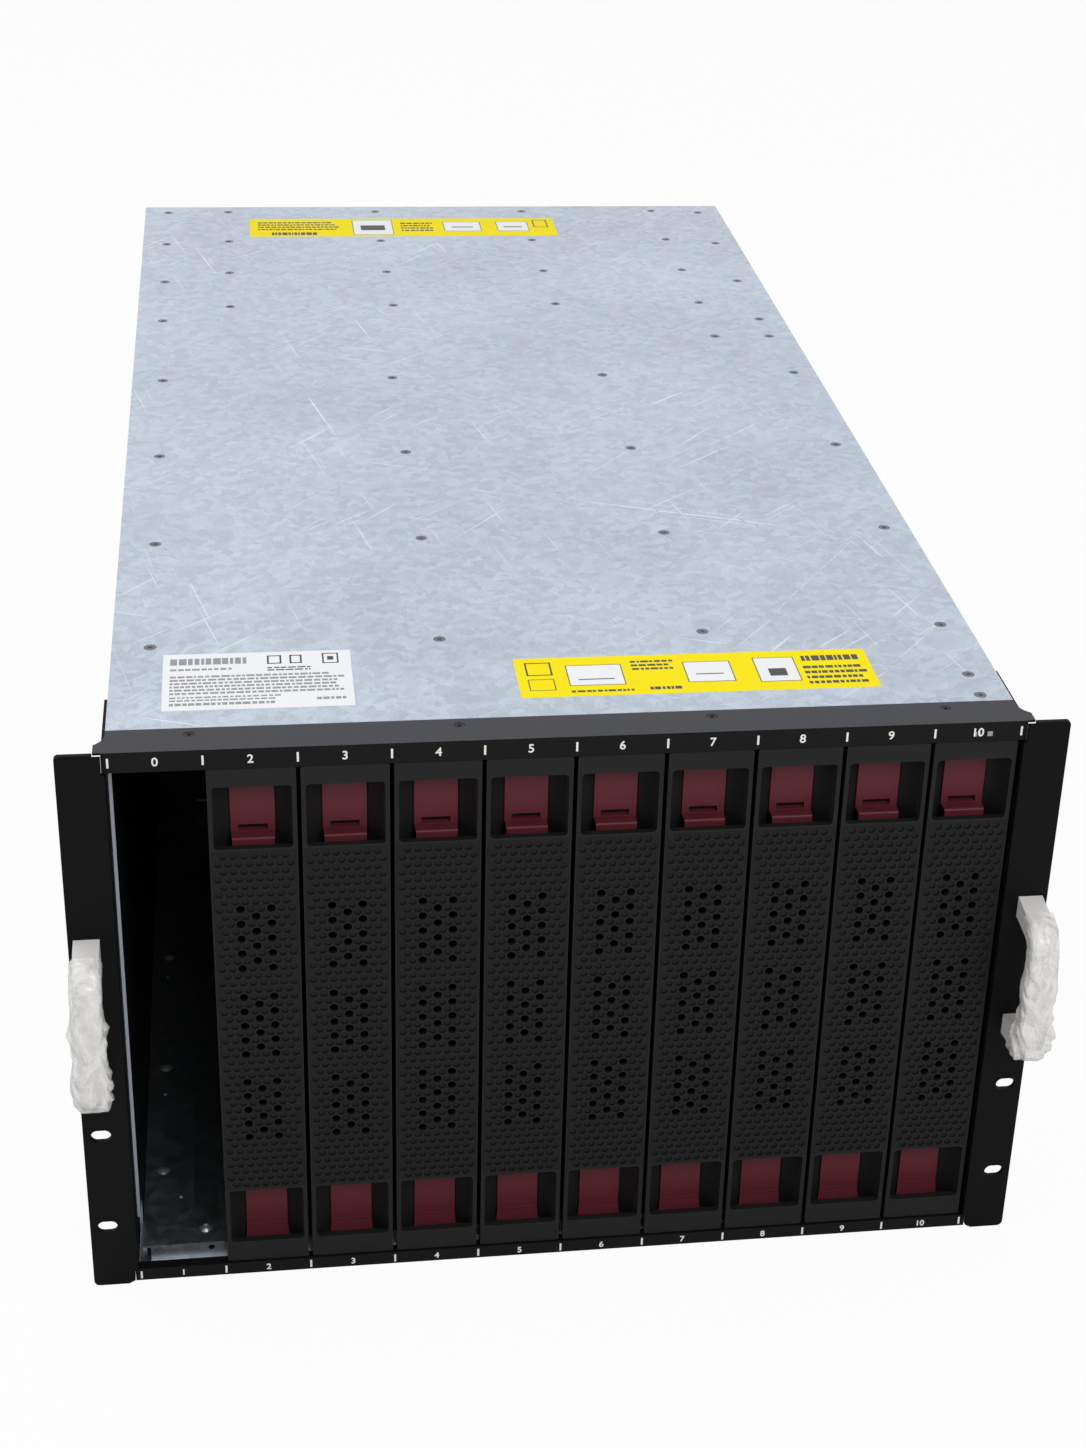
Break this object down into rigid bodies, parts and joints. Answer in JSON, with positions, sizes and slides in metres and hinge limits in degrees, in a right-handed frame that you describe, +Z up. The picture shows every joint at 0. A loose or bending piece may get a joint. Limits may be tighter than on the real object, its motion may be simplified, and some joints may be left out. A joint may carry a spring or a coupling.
{
  "type": "blade server chassis",
  "caption": "Rack-mount blade enclosure with upright bays, perforated filler blanks with squeeze latches, side handles and removable rear modules.",
  "frame": {"origin": "centre of the bounding box's footprint, on the bottom plane", "axes": "+Z up, front faces -Y, X across the front"},
  "size_m": [0.4826, 0.9194, 0.3104],
  "materials": {
    "galvanised_sheet": "satin",
    "black_paint": "satin",
    "charcoal_paint": "satin",
    "bezel_plastic": "satin",
    "grille_plastic": "satin",
    "latch_plastic": "satin",
    "handle_metal": "satin",
    "clear_film": "gloss",
    "screw_steel": "satin",
    "board_green": "matte",
    "module_sheet": "satin"
  },
  "bodies": {
    "chassis": {"base_pan": "galvanised_sheet", "left_side_wall": "galvanised_sheet", "right_side_wall": "galvanised_sheet", "top_cover": "galvanised_sheet", "front_top_frame": "charcoal_paint", "front_bottom_rail": "black_paint", "left_rack_ear": "black_paint", "right_rack_ear": "black_paint", "left_handle": "handle_metal", "right_handle": "handle_metal", "left_handle_film": "clear_film", "right_handle_film": "clear_film", "bay_floor": "galvanised_sheet", "bay_ceiling": "galvanised_sheet", "midplane": "board_green", "rear_cage": "galvanised_sheet", "cover_screws": "screw_steel", "rivets": "screw_steel"},
    "blank_2": {"blank_2_frame": "bezel_plastic", "blank_2_grille": "grille_plastic"},
    "blank_3": {"blank_3_frame": "bezel_plastic", "blank_3_grille": "grille_plastic"},
    "blank_4": {"blank_4_frame": "bezel_plastic", "blank_4_grille": "grille_plastic"},
    "blank_5": {"blank_5_frame": "bezel_plastic", "blank_5_grille": "grille_plastic"},
    "blank_6": {"blank_6_frame": "bezel_plastic", "blank_6_grille": "grille_plastic"},
    "blank_7": {"blank_7_frame": "bezel_plastic", "blank_7_grille": "grille_plastic"},
    "blank_8": {"blank_8_frame": "bezel_plastic", "blank_8_grille": "grille_plastic"},
    "blank_9": {"blank_9_frame": "bezel_plastic", "blank_9_grille": "grille_plastic"},
    "blank_10": {"blank_10_frame": "bezel_plastic", "blank_10_grille": "grille_plastic"},
    "blank_2_release_upper": {"blank_2_upper_latch": "latch_plastic"},
    "blank_2_release_lower": {"blank_2_lower_latch": "latch_plastic"},
    "blank_3_release_upper": {"blank_3_upper_latch": "latch_plastic"},
    "blank_3_release_lower": {"blank_3_lower_latch": "latch_plastic"},
    "blank_4_release_upper": {"blank_4_upper_latch": "latch_plastic"},
    "blank_4_release_lower": {"blank_4_lower_latch": "latch_plastic"},
    "blank_5_release_upper": {"blank_5_upper_latch": "latch_plastic"},
    "blank_5_release_lower": {"blank_5_lower_latch": "latch_plastic"},
    "blank_6_release_upper": {"blank_6_upper_latch": "latch_plastic"},
    "blank_6_release_lower": {"blank_6_lower_latch": "latch_plastic"},
    "blank_7_release_upper": {"blank_7_upper_latch": "latch_plastic"},
    "blank_7_release_lower": {"blank_7_lower_latch": "latch_plastic"},
    "blank_8_release_upper": {"blank_8_upper_latch": "latch_plastic"},
    "blank_8_release_lower": {"blank_8_lower_latch": "latch_plastic"},
    "blank_9_release_upper": {"blank_9_upper_latch": "latch_plastic"},
    "blank_9_release_lower": {"blank_9_lower_latch": "latch_plastic"},
    "blank_10_release_upper": {"blank_10_upper_latch": "latch_plastic"},
    "blank_10_release_lower": {"blank_10_lower_latch": "latch_plastic"},
    "supply_1": {"power_supply_1": "module_sheet"},
    "supply_2": {"power_supply_2": "module_sheet"},
    "supply_3": {"power_supply_3": "module_sheet"},
    "supply_4": {"power_supply_4": "module_sheet"},
    "io_1": {"io_module_1": "module_sheet"},
    "io_2": {"io_module_2": "module_sheet"}
  },
  "joints": [
    {"name": "blank_2_slide", "type": "slide", "parent": "chassis", "child": "blank_2", "axis": [0, -1, 0], "range_m": [0, 0.15]},
    {"name": "blank_2_upper_squeeze", "type": "slide", "parent": "blank_2", "child": "blank_2_release_upper", "axis": [0, 0, -1], "range_m": [0, 0.004], "stiffness_N_per_m": 900},
    {"name": "blank_2_lower_squeeze", "type": "slide", "parent": "blank_2", "child": "blank_2_release_lower", "axis": [0, 0, 1], "range_m": [0, 0.004], "stiffness_N_per_m": 900},
    {"name": "blank_3_slide", "type": "slide", "parent": "chassis", "child": "blank_3", "axis": [0, -1, 0], "range_m": [0, 0.15]},
    {"name": "blank_3_upper_squeeze", "type": "slide", "parent": "blank_3", "child": "blank_3_release_upper", "axis": [0, 0, -1], "range_m": [0, 0.004], "stiffness_N_per_m": 900},
    {"name": "blank_3_lower_squeeze", "type": "slide", "parent": "blank_3", "child": "blank_3_release_lower", "axis": [0, 0, 1], "range_m": [0, 0.004], "stiffness_N_per_m": 900},
    {"name": "blank_4_slide", "type": "slide", "parent": "chassis", "child": "blank_4", "axis": [0, -1, 0], "range_m": [0, 0.15]},
    {"name": "blank_4_upper_squeeze", "type": "slide", "parent": "blank_4", "child": "blank_4_release_upper", "axis": [0, 0, -1], "range_m": [0, 0.004], "stiffness_N_per_m": 900},
    {"name": "blank_4_lower_squeeze", "type": "slide", "parent": "blank_4", "child": "blank_4_release_lower", "axis": [0, 0, 1], "range_m": [0, 0.004], "stiffness_N_per_m": 900},
    {"name": "blank_5_slide", "type": "slide", "parent": "chassis", "child": "blank_5", "axis": [0, -1, 0], "range_m": [0, 0.15]},
    {"name": "blank_5_upper_squeeze", "type": "slide", "parent": "blank_5", "child": "blank_5_release_upper", "axis": [0, 0, -1], "range_m": [0, 0.004], "stiffness_N_per_m": 900},
    {"name": "blank_5_lower_squeeze", "type": "slide", "parent": "blank_5", "child": "blank_5_release_lower", "axis": [0, 0, 1], "range_m": [0, 0.004], "stiffness_N_per_m": 900},
    {"name": "blank_6_slide", "type": "slide", "parent": "chassis", "child": "blank_6", "axis": [0, -1, 0], "range_m": [0, 0.15]},
    {"name": "blank_6_upper_squeeze", "type": "slide", "parent": "blank_6", "child": "blank_6_release_upper", "axis": [0, 0, -1], "range_m": [0, 0.004], "stiffness_N_per_m": 900},
    {"name": "blank_6_lower_squeeze", "type": "slide", "parent": "blank_6", "child": "blank_6_release_lower", "axis": [0, 0, 1], "range_m": [0, 0.004], "stiffness_N_per_m": 900},
    {"name": "blank_7_slide", "type": "slide", "parent": "chassis", "child": "blank_7", "axis": [0, -1, 0], "range_m": [0, 0.15]},
    {"name": "blank_7_upper_squeeze", "type": "slide", "parent": "blank_7", "child": "blank_7_release_upper", "axis": [0, 0, -1], "range_m": [0, 0.004], "stiffness_N_per_m": 900},
    {"name": "blank_7_lower_squeeze", "type": "slide", "parent": "blank_7", "child": "blank_7_release_lower", "axis": [0, 0, 1], "range_m": [0, 0.004], "stiffness_N_per_m": 900},
    {"name": "blank_8_slide", "type": "slide", "parent": "chassis", "child": "blank_8", "axis": [0, -1, 0], "range_m": [0, 0.15]},
    {"name": "blank_8_upper_squeeze", "type": "slide", "parent": "blank_8", "child": "blank_8_release_upper", "axis": [0, 0, -1], "range_m": [0, 0.004], "stiffness_N_per_m": 900},
    {"name": "blank_8_lower_squeeze", "type": "slide", "parent": "blank_8", "child": "blank_8_release_lower", "axis": [0, 0, 1], "range_m": [0, 0.004], "stiffness_N_per_m": 900},
    {"name": "blank_9_slide", "type": "slide", "parent": "chassis", "child": "blank_9", "axis": [0, -1, 0], "range_m": [0, 0.15]},
    {"name": "blank_9_upper_squeeze", "type": "slide", "parent": "blank_9", "child": "blank_9_release_upper", "axis": [0, 0, -1], "range_m": [0, 0.004], "stiffness_N_per_m": 900},
    {"name": "blank_9_lower_squeeze", "type": "slide", "parent": "blank_9", "child": "blank_9_release_lower", "axis": [0, 0, 1], "range_m": [0, 0.004], "stiffness_N_per_m": 900},
    {"name": "blank_10_slide", "type": "slide", "parent": "chassis", "child": "blank_10", "axis": [0, -1, 0], "range_m": [0, 0.15]},
    {"name": "blank_10_upper_squeeze", "type": "slide", "parent": "blank_10", "child": "blank_10_release_upper", "axis": [0, 0, -1], "range_m": [0, 0.004], "stiffness_N_per_m": 900},
    {"name": "blank_10_lower_squeeze", "type": "slide", "parent": "blank_10", "child": "blank_10_release_lower", "axis": [0, 0, 1], "range_m": [0, 0.004], "stiffness_N_per_m": 900},
    {"name": "supply_1_slide", "type": "slide", "parent": "chassis", "child": "supply_1", "axis": [0, 1, 0], "range_m": [0, 0.28]},
    {"name": "supply_2_slide", "type": "slide", "parent": "chassis", "child": "supply_2", "axis": [0, 1, 0], "range_m": [0, 0.28]},
    {"name": "supply_3_slide", "type": "slide", "parent": "chassis", "child": "supply_3", "axis": [0, 1, 0], "range_m": [0, 0.28]},
    {"name": "supply_4_slide", "type": "slide", "parent": "chassis", "child": "supply_4", "axis": [0, 1, 0], "range_m": [0, 0.28]},
    {"name": "io_1_slide", "type": "slide", "parent": "chassis", "child": "io_1", "axis": [0, 1, 0], "range_m": [0, 0.25]},
    {"name": "io_2_slide", "type": "slide", "parent": "chassis", "child": "io_2", "axis": [0, 1, 0], "range_m": [0, 0.25]}
  ]
}
